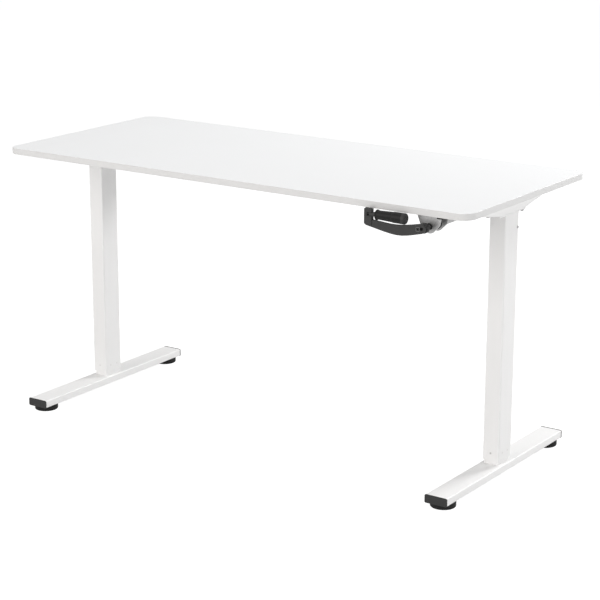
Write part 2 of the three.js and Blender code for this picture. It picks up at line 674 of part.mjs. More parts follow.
function addRails() {
  const railEnd = LEG_X + SIDE_ARM_WIDTH / 2 - RAIL_END_INSET;
  const leftRailEnd = -railEnd + LEFT_RAIL_LENGTH;
  const slide = 2 * (RAIL_WALL + FIT_GAP);
  const outerInside = rectangle(RAIL_DEPTH - 2 * RAIL_WALL, RAIL_HEIGHT - 2 * RAIL_WALL);
  const innerOutside = rectangle(RAIL_DEPTH - slide, RAIL_HEIGHT - slide);
  const innerInside = rectangle(RAIL_DEPTH - slide - 2 * RAIL_WALL, RAIL_HEIGHT - slide - 2 * RAIL_WALL);
  const outer = extrudeAlongX(
    rectangle(RAIL_DEPTH, RAIL_HEIGHT),
    -railEnd,
    leftRailEnd,
    outerInside,
  );
  const inner = extrudeAlongX(innerOutside, leftRailEnd - RAIL_OVERLAP, railEnd, innerInside);
  for (const [place, y] of [['front', -RAIL_OFFSET], ['rear', RAIL_OFFSET]]) {
    const left = piece(desk, `rail_left_${place}`, outer, finish.whitePaint);
    const right = piece(desk, `rail_right_${place}`, inner, finish.whitePaint);
    left.position.set(0, y, RAIL_MIDDLE);
    right.position.set(0, y, RAIL_MIDDLE);
  }
}

function addShaft() {
  const shaft = extrudeAlongX(hexagon(HEX_RADIUS), -LEG_X + GEAR_BACK, LEG_X - HEX_RADIUS);
  piece(desk, 'hex_shaft', shaft, finish.zincSteel).position.z = SHAFT_HEIGHT;
  const gear = boredGear(SHAFT_GEAR_HUB_LENGTH, 0, HEX_RADIUS + FIT_GAP).rotateY(Math.PI / 2);
  for (const [place, x] of [['left', -LEG_X], ['crank', CRANK_X], ['right', LEG_X]]) {
    const mesh = piece(desk, `shaft_gear_${place}`, gear, finish.gearSteel);
    mesh.position.set(x, 0, SHAFT_HEIGHT);
  }
}

// ---------------------------------------------------------------- crank

function addCrankGearbox(crank) {
  const top = SHAFT_DROP - SEAT_GAP;
  const floor = -GEAR_TIP_RADIUS - RUNNING_GAP;
  const left = -GEARBOX_WIDTH / 2;
  const right = GEAR_TIP_RADIUS + RUNNING_GAP + GEARBOX_WALL;
  const shell = (from, to, depth, bottom, upper) => block(to - from, depth, bottom, upper)
    .translate((from + to) / 2, 0, 0);
  const flangeLeft = left - CRANK_GEARBOX_FLANGE_REACH;
  const flangeBottom = top - GEARBOX_FLANGE_THICKNESS;
  const body = join(
    shell(left, right, GEARBOX_WIDTH, floor - GEARBOX_WALL, top),
    shell(flangeLeft, 0, GEARBOX_WIDTH, flangeBottom, top),
  );
  const housing = cut(
    body,
    shell(left + GEARBOX_WALL, right - GEARBOX_WALL, GEARBOX_CAVITY, floor, top + OVERCUT),
    extrudeAlongX(circle(HEX_RADIUS + RUNNING_GAP), -GEARBOX_WIDTH, GEARBOX_WIDTH),
    extrudeAlongY(circle(SLEEVE_DIAMETER / 2 + RUNNING_GAP), -GEARBOX_WIDTH, 0),
  );
  piece(crank, 'crank_gearbox_housing', housing, finish.greyPlastic);
}

// A bent steel plate under the worktop, with two round-ended ears that carry the crank.
function addBracket(crank) {
  const top = SHAFT_DROP - SEAT_GAP;
  const roundStart = THREE.MathUtils.degToRad(EAR_ROUND_START);
  const roundEnd = THREE.MathUtils.degToRad(EAR_ROUND_END);
  const ear = [
    new THREE.Vector2(BRACKET_RIGHT_REACH, top),
    new THREE.Vector2(-EAR_TOP_REACH, top),
    new THREE.Vector2(-EAR_LEFT_REACH, EAR_LEFT_RISE),
    ...arcPoints(0, 0, EAR_RADIUS, roundStart, roundEnd, ROUND_STEPS / 2),
    new THREE.Vector2(EAR_WAIST_REACH, EAR_WAIST_RISE),
    new THREE.Vector2(EAR_RIGHT_REACH, EAR_RIGHT_RISE),
    new THREE.Vector2(BRACKET_RIGHT_REACH, EAR_RIGHT_RISE),
  ];
  const plateWidth = EAR_TOP_REACH + BRACKET_RIGHT_REACH;
  const plate = extrudeAlongY(
    rectangle(plateWidth, EAR_THICKNESS),
    FRONT_EAR,
    FRONT_EAR + BRACKET_LENGTH,
  ).translate((BRACKET_RIGHT_REACH - EAR_TOP_REACH) / 2, 0, top - EAR_THICKNESS / 2);
  const ears = [FRONT_EAR, REAR_EAR].map((y) => extrudeAlongY(ear, y, y + EAR_THICKNESS));
  const frontBush = HEX_RADIUS + RUNNING_GAP + BUSH_WALL;
  const rearBush = SLEEVE_DIAMETER / 2 + RUNNING_GAP + BUSH_WALL;
  const bracket = cut(
    join(plate, ...ears),
    bushHole(frontBush, FRONT_EAR),
    bushHole(rearBush, REAR_EAR),
  );
  piece(crank, 'crank_bracket', bracket, finish.zincSteel);
  addBush(crank, 'front', frontBush, FRONT_EAR);
  addBush(crank, 'rear', rearBush, REAR_EAR);
}

function bushHole(bushRadius, earFront) {
  const earBack = earFront + EAR_THICKNESS;
  return extrudeAlongY(circle(bushRadius + FIT_GAP), earFront - OVERCUT, earBack + OVERCUT);
}

function addBush(crank, place, radius, earFront) {
  const flangeBack = earFront - SEAT_GAP;
  const flangeFront = flangeBack - BUSH_FLANGE_THICKNESS;
  const bodyBack = earFront + EAR_THICKNESS + BUSH_OVERHANG;
  const flange = extrudeAlongY(circle(radius + BUSH_FLANGE_REACH), flangeFront, flangeBack);
  const body = extrudeAlongY(circle(radius), flangeFront + BUSH_FLANGE_THICKNESS / 2, bodyBack);
  const bore = circle(radius - BUSH_WALL);
  const hole = extrudeAlongY(bore, flangeFront - OVERCUT, bodyBack + OVERCUT);
  piece(crank, `crank_bush_${place}`, cut(join(flange, body), hole), finish.blackPlastic);
}

function addDrive(crank) {
  const bore = circle(SLEEVE_BORE_RADIUS);
  const sleeve = extrudeAlongY(circle(SLEEVE_DIAMETER / 2), SLEEVE_FRONT, GEAR_BACK - SEAT_GAP, bore);
  piece(crank, 'drive_sleeve', sleeve, finish.zincSteel);
  const stubRadius = SLEEVE_BORE_RADIUS - FIT_GAP;
  const stub = extrude(circle(stubRadius), GEAR_BACK - STUB_LENGTH, GEAR_BACK + OVERCUT);
  const gear = join(bevelGear(SHAFT_GEAR_HUB_LENGTH, HALF_TOOTH), stub);
  piece(crank, 'drive_gear', gear.rotateX(-Math.PI / 2), finish.gearSteel);
}

// The arm hangs in a shallow curve from its hub to the head that holds the folding grip.
function crankArmOutline() {
  const lowerCorner = -CRANK_REACH - CRANK_HEAD_OUTER + CRANK_HEAD_BEVEL_WIDTH;
  const headEnd = -CRANK_REACH + CRANK_HEAD_INNER;
  const bendMiddle = -0.44 * CRANK_REACH;
  const hubStart = THREE.MathUtils.degToRad(CRANK_HUB_START);
  const hubEnd = THREE.MathUtils.degToRad(CRANK_HUB_END);
  const outline = new THREE.Shape();
  outline.moveTo(lowerCorner, -CRANK_HEAD_BELOW);
  outline.bezierCurveTo(
    bendMiddle,
    -CRANK_DIP,
    bendMiddle,
    -CRANK_DIP,
    -CRANK_HUB_SHIFT + CRANK_HUB_RADIUS * Math.cos(hubStart),
    CRANK_HUB_RADIUS * Math.sin(hubStart),
  );
  outline.absarc(-CRANK_HUB_SHIFT, 0, CRANK_HUB_RADIUS, hubStart, hubEnd);
  outline.bezierCurveTo(
    -0.54 * CRANK_REACH,
    -CRANK_HOLLOW,
    -0.61 * CRANK_REACH,
    CRANK_RISE,
    headEnd,
    CRANK_SHOULDER,
  );
  outline.lineTo(-CRANK_REACH, CRANK_SHOULDER);
  return outline.getPoints(8);
}

// The head stands up from the arm's end, with its outer corners bevelled.
function crankHeadOutline() {
  const outer = -CRANK_REACH - CRANK_HEAD_OUTER;
  const inner = -CRANK_REACH + CRANK_HEAD_INNER;
  const corners = [
    [inner, -CRANK_HEAD_BELOW],
    [inner, CRANK_HEAD_TOP],
    [outer + CRANK_HEAD_BEVEL_WIDTH, CRANK_HEAD_TOP],
    [outer, CRANK_HEAD_TOP - CRANK_HEAD_BEVEL_HEIGHT],
    [outer, -CRANK_HEAD_BELOW + CRANK_HEAD_BEVEL_HEIGHT],
    [outer + CRANK_HEAD_BEVEL_WIDTH, -CRANK_HEAD_BELOW],
  ];
  return corners.map((corner) => new THREE.Vector2(...corner));
}

function addCrankArm(crank) {
  const headFront = CRANK_PLANE - CRANK_HEAD_DEPTH / 2;
  const headBack = CRANK_PLANE + CRANK_HEAD_DEPTH / 2;
  const slotStart = -CRANK_REACH - CRANK_HEAD_OUTER + CRANK_HEAD_WEB;
  const pinHole = HINGE_PIN_DIAMETER / 2 + FIT_GAP;
  const rodHole = hexagon(HEX_RADIUS + FIT_GAP);
  const arm = extrudeAlongY(crankArmOutline(), ARM_FRONT, ARM_BACK);
  const head = extrudeAlongY(crankHeadOutline(), headFront, headBack);
  const slot = extrudeAlongX(
    rectangle(2 * CRANK_HEAD_DEPTH, HINGE_SLOT_HEIGHT),
    slotStart,
    slotStart + CRANK_HEAD_OUTER + CRANK_HEAD_INNER,
  ).translate(0, CRANK_PLANE, GRIP_RISE);
  const topSlope = new THREE.Vector2(CRANK_HEAD_DEPTH, -CRANK_HEAD_BACK_DROP);
  const topFront = new THREE.Vector2(headFront, CRANK_HEAD_TOP).sub(topSlope);
  const topBack = new THREE.Vector2(headBack, CRANK_HEAD_TOP - CRANK_HEAD_BACK_DROP).add(topSlope);
  const topCut = extrudeAlongX(
    [topFront, topBack, new THREE.Vector2(topBack.x, topFront.y)],
    -CRANK_REACH - CRANK_HEAD_OUTER - OVERCUT,
    -CRANK_REACH + CRANK_HEAD_INNER + OVERCUT,
  );
  const hingeHole = extrude(circle(pinHole, SMALL_ROUND_STEPS), 0, CRANK_HEAD_TOP + OVERCUT)
    .translate(-CRANK_REACH, CRANK_PLANE, 0);
  const well = extrudeAlongY(circle(BOLT_WELL_DIAMETER / 2), ARM_FRONT - OVERCUT, BOLT_SEAT);
  const shankRadius = BOLT_SHANK_DIAMETER / 2;
  const shankHole = circle(shankRadius + FIT_GAP, SMALL_ROUND_STEPS);
  const webHole = extrudeAlongY(shankHole, ARM_FRONT, ARM_BACK);
  const rodSeat = extrudeAlongY(rodHole, BOLT_SEAT + HUB_WEB, ARM_BACK + OVERCUT);
  const body = cut(join(arm, head), topCut, slot, hingeHole, well, webHole, rodSeat);
  piece(crank, 'crank_arm', body, finish.blackPaint);

  const pinSection = circle(HINGE_PIN_DIAMETER / 2, SMALL_ROUND_STEPS);
  const pin = extrude(pinSection, SEAT_GAP, CRANK_HEAD_TOP - CRANK_HEAD_BACK_DROP)
    .translate(-CRANK_REACH, CRANK_PLANE, 0);
  piece(crank, 'hinge_pin', pin, finish.blackPaint);

  const collar = extrudeAlongY(circle(COLLAR_DIAMETER / 2), COLLAR_FRONT, COLLAR_BACK, rodHole);
  piece(crank, 'crank_collar', collar, finish.blackPlastic);
  const shankEnd = BOLT_SEAT - SEAT_GAP + BOLT_SHANK_LENGTH;
  const rod = extrudeAlongY(hexagon(HEX_RADIUS), ROD_FRONT, ROD_FRONT + CRANK_ROD_LENGTH);
  const shankBore = extrudeAlongY(shankHole, ROD_FRONT - OVERCUT, shankEnd + OVERCUT);
  piece(crank, 'crank_rod', cut(rod, shankBore), finish.zincSteel);
  const boltHead = extrudeAlongY(
    circle(BOLT_HEAD_DIAMETER / 2),
    ARM_FRONT + BOLT_RECESS,
    BOLT_SEAT - SEAT_GAP,
  );
  const shank = extrudeAlongY(
    circle(shankRadius, SMALL_ROUND_STEPS),
    ARM_FRONT + BOLT_RECESS,
    shankEnd,
  );
  piece(crank, 'arm_bolt', join(boltHead, shank), finish.blackPaint);
}

function addGrip(crank) {
  const hinge = new THREE.Group();
  hinge.position.set(-CRANK_REACH, CRANK_PLANE, GRIP_RISE);
  crank.add(hinge);
  const gripEnd = GRIP_START + GRIP_LENGTH;
  const spindleRadius = SPINDLE_DIAMETER / 2;
  const eyeBore = circle(HINGE_PIN_DIAMETER / 2 + FIT_GAP, SMALL_ROUND_STEPS);
  const eyeHole = extrude(eyeBore, -EYE_HEIGHT, EYE_HEIGHT);
  const eye = extrude(circle(EYE_DIAMETER / 2), -EYE_HEIGHT / 2, EYE_HEIGHT / 2);
  const tongue = block(SHOULDER_START, EYE_DIAMETER, -EYE_HEIGHT / 2, EYE_HEIGHT / 2)
    .translate(SHOULDER_START / 2, 0, 0);
  const shoulder = extrudeAlongX(
    circle(SHOULDER_DIAMETER / 2),
    SHOULDER_START,
    GRIP_START - RUNNING_GAP,
  );
  const rodEnd = gripEnd - GRIP_CAP_LENGTH - SEAT_GAP;
  const rod = extrudeAlongX(circle(spindleRadius, SMALL_ROUND_STEPS), 0, rodEnd);
  piece(hinge, 'grip_spindle', cut(join(eye, tongue, shoulder, rod), eyeHole), finish.blackPaint);

  const sleeve = turned([
    [0, GRIP_START],
    [GRIP_FLANGE_RADIUS, GRIP_START],
    [GRIP_FLANGE_RADIUS, GRIP_START + GRIP_FLANGE_LENGTH],
    [GRIP_NECK_RADIUS, GRIP_START + 2 * GRIP_FLANGE_LENGTH],
    [GRIP_WAIST_RADIUS, GRIP_START + GRIP_TAPER_LENGTH],
    [GRIP_RADIUS, GRIP_START + GRIP_TAPER_LENGTH + GRIP_STEP_LENGTH],
    [GRIP_RADIUS, gripEnd - GRIP_CAP_LENGTH],
    [0, gripEnd - GRIP_CAP_LENGTH],
  ]).rotateY(Math.PI / 2);
  const bore = extrudeAlongX(circle(spindleRadius + FIT_GAP, SMALL_ROUND_STEPS), 0, gripEnd);
  piece(hinge, 'grip_sleeve', cut(sleeve, bore), finish.blackPlastic);

  const cap = extrudeAlongX(circle(GRIP_RADIUS), gripEnd - GRIP_CAP_LENGTH + SEAT_GAP, gripEnd);
  piece(hinge, 'grip_cap', cap, finish.blackPlastic);
}

function addCrank() {
  const crank = new THREE.Group();
  crank.position.set(CRANK_X, 0, SHAFT_HEIGHT);
  addCrankGearbox(crank);
  addBracket(crank);
  addDrive(crank);
  addCrankArm(crank);
  addGrip(crank);
  desk.add(crank);
}

// ---------------------------------------------------------------- the desk

addWorktop();
addLeg('left', -1);
addLeg('right', 1);
addRails();
addShaft();
addCrank();

// The origin lies on the floor under the middle of the desk's outline, crank included.
desk.position.y = -(CRANK_PLANE - GRIP_RADIUS + TOP_FRONT + TOP_DEPTH) / 2;

export default desk;
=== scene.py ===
import json
import math

import bmesh
import bpy
from mathutils import Matrix, Vector

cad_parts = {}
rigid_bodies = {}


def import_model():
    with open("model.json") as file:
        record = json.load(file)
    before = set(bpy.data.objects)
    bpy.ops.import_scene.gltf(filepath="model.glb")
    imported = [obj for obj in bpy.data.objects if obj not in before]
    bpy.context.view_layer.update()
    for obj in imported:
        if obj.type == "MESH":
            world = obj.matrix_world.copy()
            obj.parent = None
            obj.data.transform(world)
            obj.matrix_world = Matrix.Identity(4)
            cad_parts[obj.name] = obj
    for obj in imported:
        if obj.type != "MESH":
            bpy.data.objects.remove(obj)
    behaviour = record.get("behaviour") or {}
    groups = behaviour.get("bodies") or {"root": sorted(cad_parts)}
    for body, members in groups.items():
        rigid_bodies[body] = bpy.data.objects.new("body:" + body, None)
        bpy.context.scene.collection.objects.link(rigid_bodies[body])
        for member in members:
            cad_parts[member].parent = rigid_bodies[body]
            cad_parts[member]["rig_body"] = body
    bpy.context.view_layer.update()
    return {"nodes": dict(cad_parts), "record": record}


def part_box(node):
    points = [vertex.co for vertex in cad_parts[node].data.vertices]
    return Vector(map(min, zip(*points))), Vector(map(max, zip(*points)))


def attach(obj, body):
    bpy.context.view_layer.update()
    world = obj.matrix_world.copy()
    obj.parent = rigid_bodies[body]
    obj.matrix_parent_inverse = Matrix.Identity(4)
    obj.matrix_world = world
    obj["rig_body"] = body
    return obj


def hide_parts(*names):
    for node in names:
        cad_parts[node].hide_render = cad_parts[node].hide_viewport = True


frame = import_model()

NODES = frame["nodes"]
SLOT_OF = {row["node"]: row["material_slot"] for row in frame["record"]["subparts"]}
SIDES = ("left", "right")
MM = 0.001
X, Y, Z = 0, 1, 2
RIGHT = Vector((1, 0, 0))
BACK = Vector((0, 1, 0))
UP = Vector((0, 0, 1))

# ---------------------------------------------------------------- camera

# The camera's place is in metres, and its lens and sensor are in millimetres.
CAMERA_PLACE = (2.70273, -3.87166, 1.66313)
CAMERA_TURN = math.radians(34.46)
CAMERA_DIP = math.radians(15.52)
CAMERA_ROLL = math.radians(0.16)
LENS = 112.28
SENSOR_WIDTH = 36


def add_camera():
    data = bpy.data.cameras.new("camera")
    data.lens = LENS
    data.sensor_width = SENSOR_WIDTH
    camera = bpy.data.objects.new("camera", data)
    level = math.pi / 2 - CAMERA_DIP
    turn = Matrix.Rotation(CAMERA_TURN, 4, "Z") @ Matrix.Rotation(level, 4, "X")
    camera.matrix_world = Matrix.Translation(CAMERA_PLACE) @ turn @ Matrix.Rotation(CAMERA_ROLL, 4, "Z")
    bpy.context.scene.collection.objects.link(camera)
    bpy.context.scene.camera = camera


add_camera()

# ---------------------------------------------------------------- finishes

# A Mix node keeps one set of sockets for each kind of value. These are its colour sockets.
MIX_SHARE = 0
MIX_FIRST = 6
MIX_SECOND = 7
MIX_COLOUR = 2


class Pattern:
    """A number that changes over a surface. Arithmetic on it adds Math nodes, and | is the larger."""

    def __init__(self, nodes, socket):
        self.nodes = nodes
        self.socket = socket

    def maths(self, operation, other):
        node = self.nodes.node("ShaderNodeMath", {"operation": operation}, {0: self, 1: other})
        return Pattern(self.nodes, node.outputs[0])

    def __add__(self, other):
        return self.maths("ADD", other)

    def __mul__(self, other):
        return self.maths("MULTIPLY", other)

    def __or__(self, other):
        return self.maths("MAXIMUM", other)

    __radd__ = __add__
    __rmul__ = __mul__
    __ror__ = __or__


class Nodes:
    """The nodes of a material or of the world."""

    def __init__(self, holder):
        holder.use_nodes = True
        self.tree = holder.node_tree

    def node(self, kind, settings=None, sockets=None):
        made = self.tree.nodes.new(kind)
        for setting, value in (settings or {}).items():
            setattr(made, setting, value)
        for key, value in (sockets or {}).items():
            if isinstance(value, Pattern):
                value = value.socket
            if isinstance(value, bpy.types.NodeSocket):
                self.tree.links.new(value, made.inputs[key])
            else:
                made.inputs[key].default_value = value
        return made


class Finish(Nodes):
    """A material: one principled shader, and patterns for its colour, roughness and relief."""

    def __init__(self, name, **fixed):
        self.material = bpy.data.materials.new(name)
        super().__init__(self.material)
        self.shader = self.tree.nodes["Principled BSDF"]
        for socket, value in fixed.items():
            self.shader.inputs[socket.replace("_", " ")].default_value = value

    def show(self, output, socket):
        self.tree.links.new(output, self.shader.inputs[socket])

    def places(self, stretch=(1, 1, 1)):
        spot = self.node("ShaderNodeTexCoord").outputs["Object"]
        return self.node("ShaderNodeMapping", None, {"Vector": spot, "Scale": stretch}).outputs[0]

    def noise(self, size, detail=2.0, stretch=(1, 1, 1)):
        """Soft random spots, about as wide as size, squeezed along each axis by its stretch."""
        sockets = {"Vector": self.places(stretch), "Scale": 1 / size, "Detail": detail}
        return Pattern(self, self.node("ShaderNodeTexNoise", None, sockets).outputs[0])

    def cells(self, size):
        """One random number for each crystal of about this size."""
        sockets = {"Vector": self.places(), "Scale": 1 / size}
        cell = self.node("ShaderNodeTexVoronoi", None, sockets).outputs["Color"]
        return Pattern(self, self.node("ShaderNodeSeparateColor", None, {0: cell}).outputs[0])

    def colour(self, share, low, high):
        """The surface runs from one colour to another with the pattern."""
        sockets = {MIX_SHARE: share, MIX_FIRST: (*low, 1), MIX_SECOND: (*high, 1)}
        mix = self.node("ShaderNodeMix", {"data_type": "RGBA"}, sockets)
        self.show(mix.outputs[MIX_COLOUR], "Base Color")

    def roughness(self, share):
        self.show(share.socket, "Roughness")

    def relief(self, height, depth):
        sockets = {"Height": height, "Distance": depth, "Strength": 1.0}
        self.show(self.node("ShaderNodeBump", None, sockets).outputs[0], "Normal")


def grey(level, warmth=0.0):
    """A linear grey, a little warmer or, below zero, a little cooler."""
    return (level * (1 + warmth), level, level * (1 - warmth))


def worktop_laminate():
    finish = Finish("worktop_laminate")
    pearls = finish.noise(0.9 * MM, detail=3)
    finish.colour(finish.noise(180 * MM), grey(0.915, -0.006), grey(0.93, -0.008))
    finish.roughness(0.34 + 0.1 * pearls)
    finish.relief(pearls, 0.015 * MM)
    return finish


def edge_banding():
    finish = Finish("edge_banding")
    streaks = finish.noise(1.6 * MM, stretch=(0.1, 0.1, 1))
    finish.colour(finish.noise(60 * MM), grey(0.735, 0.004), grey(0.755, 0.006))
    finish.roughness(0.36 + 0.14 * streaks)
    finish.relief(streaks, 0.01 * MM)
    return finish


def white_powder_coat():
    finish = Finish("white_powder_coat")
    peel = 0.7 * finish.noise(2.4 * MM, detail=1) + 0.3 * finish.noise(0.7 * MM)
    finish.colour(finish.noise(90 * MM), grey(0.895, 0.006), grey(0.91, 0.004))
    finish.roughness(0.3 + 0.16 * peel)
    finish.relief(peel, 0.05 * MM)
    return finish


def black_plastic():
    finish = Finish("black_plastic", Specular_IOR_Level=0.22)
    grain = finish.noise(0.55 * MM, detail=4)
    finish.colour(finish.noise(12 * MM, detail=3), grey(0.03), grey(0.038))
    finish.roughness(0.42 + 0.2 * grain)
    finish.relief(grain, 0.03 * MM)
    return finish


def foot_rubber():
    finish = Finish("foot_rubber", Specular_IOR_Level=0.2)
    grain = finish.noise(0.8 * MM, detail=4)
    finish.colour(finish.noise(15 * MM, detail=3), grey(0.006), grey(0.011))
    finish.roughness(0.6 + 0.2 * grain)
    finish.relief(grain, 0.04 * MM)
    return finish


def grip_plastic():
    finish = Finish("grip_plastic", Specular_IOR_Level=0.12)
    grain = finish.noise(0.45 * MM, detail=3)
    finish.colour(finish.noise(20 * MM, detail=3), grey(0.012), grey(0.017))
    finish.roughness(0.34 + 0.16 * grain)
    finish.relief(grain, 0.02 * MM)
    return finish


def crank_black_paint():
    finish = Finish("crank_black_paint", Specular_IOR_Level=0.2)
    speckle = 0.6 * finish.noise(0.9 * MM, detail=3) + 0.4 * finish.noise(0.35 * MM)
    finish.colour(finish.noise(25 * MM, detail=3), grey(0.04), grey(0.048))
    finish.roughness(0.44 + 0.16 * speckle)
    finish.relief(speckle, 0.05 * MM)
    return finish


def zinc_steel():
    finish = Finish("zinc_steel", Metallic=1.0)
    brushed = finish.noise(0.8 * MM, detail=3, stretch=(0.08, 1, 1))
    spangle = 0.6 * finish.cells(2.5 * MM) + 0.4 * brushed
    finish.colour(spangle, grey(0.34, -0.01), grey(0.44, 0.01))
    finish.roughness(0.3 + 0.2 * finish.noise(8 * MM, detail=3))
    finish.relief(brushed, 0.004 * MM)
    return finish


def gear_steel():
    finish = Finish("gear_steel", Metallic=1.0)
    turned_marks = finish.noise(0.5 * MM, stretch=(1, 1, 6))
    finish.colour(finish.noise(6 * MM, detail=4), grey(0.2, 0.01), grey(0.3, 0.02))
    finish.roughness(0.24 + 0.2 * turned_marks)
    finish.relief(turned_marks, 0.006 * MM)
    return finish


def white_acetal():
    finish = Finish("white_acetal")
    grain = finish.noise(1.2 * MM)
    finish.colour(finish.noise(20 * MM), grey(0.78, 0.01), grey(0.82, 0.01))
    finish.roughness(0.38 + 0.14 * grain)
    finish.relief(grain, 0.015 * MM)
    return finish


def grey_housing_plastic():
    finish = Finish("grey_housing_plastic")
    fibres = finish.noise(1.0 * MM, detail=4, stretch=(1, 0.3, 1))
    finish.colour(fibres, grey(0.12), grey(0.16))
    finish.roughness(0.46 + 0.18 * fibres)
    finish.relief(fibres, 0.03 * MM)
    return finish


MAKERS = (
    worktop_laminate, edge_banding, white_powder_coat, black_plastic, foot_rubber, grip_plastic,
    crank_black_paint, zinc_steel, gear_steel, white_acetal, grey_housing_plastic,
)
FINISHES = {maker.__name__: maker().material for maker in MAKERS}

for node_name, node in NODES.items():
    for holder in node.material_slots:
        holder.material = FINISHES[SLOT_OF[node_name]]

# ---------------------------------------------------------------- shaping

CREASE = math.radians(35)  # an edge sharper than this can be rounded
CRISP = math.radians(50)  # an edge sharper than this isn't shaded smooth
FLAT = math.radians(0.5)  # triangles that meet at less than this are one face
ALIGNED = 0.999  # the least share of a unit vector that counts as along an axis
WELD = 0.001 * MM  # points of a turned shape that are nearer than this are one
SOLID_WELD = 0.01 * MM  # and so are those of a CAD solid's loose triangles

# How far the sharp edges are rounded on each kind of part.
TUBE_EDGE = 0.3 * MM
ROD_EDGE = 0.35 * MM
PLATE_EDGE = 0.5 * MM
FOLDED_EDGE = 0.6 * MM
MOULDED_EDGE = 0.6 * MM
RAIL_EDGE = 0.7 * MM
LEVER_EDGE = 0.9 * MM


def block(low, high):
    """A box between two corners."""
    bm = bmesh.new()
    bmesh.ops.create_cube(bm, size=1)
    bmesh.ops.scale(bm, vec=high - low, verts=bm.verts)
    bmesh.ops.translate(bm, vec=(low + high) / 2, verts=bm.verts)
    return bm


def round_off(bm, edges, radius, steps):
    bmesh.ops.bevel(
        bm, geom=edges, offset=radius, offset_type="OFFSET", segments=steps,
        profile=0.5, affect="EDGES", material=-1, clamp_overlap=True,
    )


def sharp_edges(bm):
    return [edge for edge in bm.edges if edge.is_manifold and edge.calc_face_angle() > CREASE]


def soften(bm, radius, steps=2):
    round_off(bm, sharp_edges(bm), radius, steps)
    return bm


def end_faces(bm, axis):
    return [face for face in bm.faces if abs(face.normal[axis]) > ALIGNED]


def bar(low, high, axis, corner, steps=6):
    """A solid bar along an axis, with its four long edges rounded."""
    bm = block(low, high)
    long_edges = [
        edge for edge in bm.edges
        if abs((edge.verts[1].co - edge.verts[0].co).normalized()[axis]) > ALIGNED
    ]
    round_off(bm, long_edges, corner, steps)
    return bm


def tube(low, high, axis, corner, wall, steps=6):
    """A bar that is open from end to end."""
    bm = bar(low, high, axis, corner, steps)
    ends = end_faces(bm, axis)
    for end in ends:
        bmesh.ops.inset_region(bm, faces=[end], thickness=wall, use_even_offset=True)
    rims = [edge for end in ends for edge in end.edges]
    bmesh.ops.delete(bm, geom=ends, context="FACES_ONLY")
    bmesh.ops.bridge_loops(bm, edges=rims)
    return bm


def aimed(bm, axis, place):
    """What was made along Z is turned to an axis and set in its place."""
    turn = UP.rotation_difference(axis).to_matrix()
    bmesh.ops.rotate(bm, cent=(0, 0, 0), matrix=turn, verts=bm.verts)
    bmesh.ops.translate(bm, vec=place, verts=bm.verts)
    return bm


def turned(profile, axis, place, closed=False, steps=64):
    """A profile of (radius, distance) points in millimetres, spun about an axis through a place."""
    bm = bmesh.new()
    points = [bm.verts.new((radius * MM, 0, distance * MM)) for radius, distance in profile]
    pairs = list(zip(points, points[1:]))
    if closed:
        pairs.append((points[-1], points[0]))
    edges = [bm.edges.new(pair) for pair in pairs]
    bmesh.ops.spin(
        bm, geom=points + edges, cent=(0, 0, 0), axis=(0, 0, 1),
        angle=2 * math.pi, steps=steps, use_merge=True,
    )
    bmesh.ops.remove_doubles(bm, verts=bm.verts, dist=WELD)
    return aimed(bm, axis, place)


def copied(node):
    """The node's own solid, with its loose triangles joined into whole faces."""
    bm = bmesh.new()
    bm.from_mesh(NODES[node].data)
    bmesh.ops.remove_doubles(bm, verts=bm.verts, dist=SOLID_WELD)
    bmesh.ops.dissolve_limit(bm, angle_limit=FLAT, verts=bm.verts, edges=bm.edges)
    return bm


def round_node(node, axis):
    """Where a round node starts along its axis, and its radius and length in millimetres."""
    low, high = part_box(node)
    start = (low + high) / 2
    start[axis] = low[axis]
    across = Z if axis == X else X
    return start, (high[across] - low[across]) / 2 / MM, (high[axis] - low[axis]) / MM


def gathered(parts):
    """Several shapes as one mesh."""
    whole = bmesh.new()
    for part in parts:
        carrier = bpy.data.meshes.new("carrier")
        part.to_mesh(carrier)
        part.free()
        whole.from_mesh(carrier)
        bpy.data.meshes.remove(carrier)
    return whole


def piece(name, bm, node=None, body=None, slot=None):
    """A new piece of the desk. With a node, it stands for that node, in its body and finish."""
    bmesh.ops.recalc_face_normals(bm, faces=bm.faces)
    mesh = bpy.data.meshes.new(name)
    bm.to_mesh(mesh)
    bm.free()
    mesh.polygons.foreach_set("use_smooth", [True] * len(mesh.polygons))
    mesh.set_sharp_from_angle(angle=CRISP)
    made = bpy.data.objects.new(name, mesh)
    bpy.context.scene.collection.objects.link(made)
    if node:
        body = NODES[node]["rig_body"]
        slot = SLOT_OF[node]
        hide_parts(node)
    mesh.materials.append(FINISHES[slot])
    shading = made.modifiers.new("even_shading", "WEIGHTED_NORMAL")
    shading.keep_sharp = True
    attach(made, body)


def eased(name, node, radius, steps=2):
    """A piece with the node's own shape, its sharp edges rounded."""
    piece(name, soften(copied(node), radius, steps), node)


# ---------------------------------------------------------------- fasteners

# Button heads with a hexagon socket: their radius, height and key, in millimetres.
WORKTOP_SCREW = (4.2, 2.2, 1.6)
RAIL_LOCK = (4.6, 2.6, 1.9)
FOOT_BOLT = (6.5, 3.4, 2.9)
GLIDE_SCREW = (2.5, 0.8, 1.5)
GLIDE_PIN = (2.3, 0.5, 1.0)
ARM_BOLT_HEAD = (3.7, 2.4, 2.2)

# Hexagon heads: their radius and height, and the radius of their washer. Then a washer's thickness.
HEAD_BOLT = (6.0, 3.6, 7.0)
GEARBOX_RETAINER = (2.9, 1.9, 3.5)
WASHER = 1.1
WASHER_CHAMFER = 0.3

# Shares of a button head's height and width.
UPRIGHT_SHARE = 0.55
CROWN_WIDTH = 0.72
SOCKET_DEPTH = 0.7


def rim_of(circle):
    """Each edge of a circle of vertices, once and in their order."""
    return [edge for vert in circle for edge in vert.link_edges if edge.verts[0] == vert]


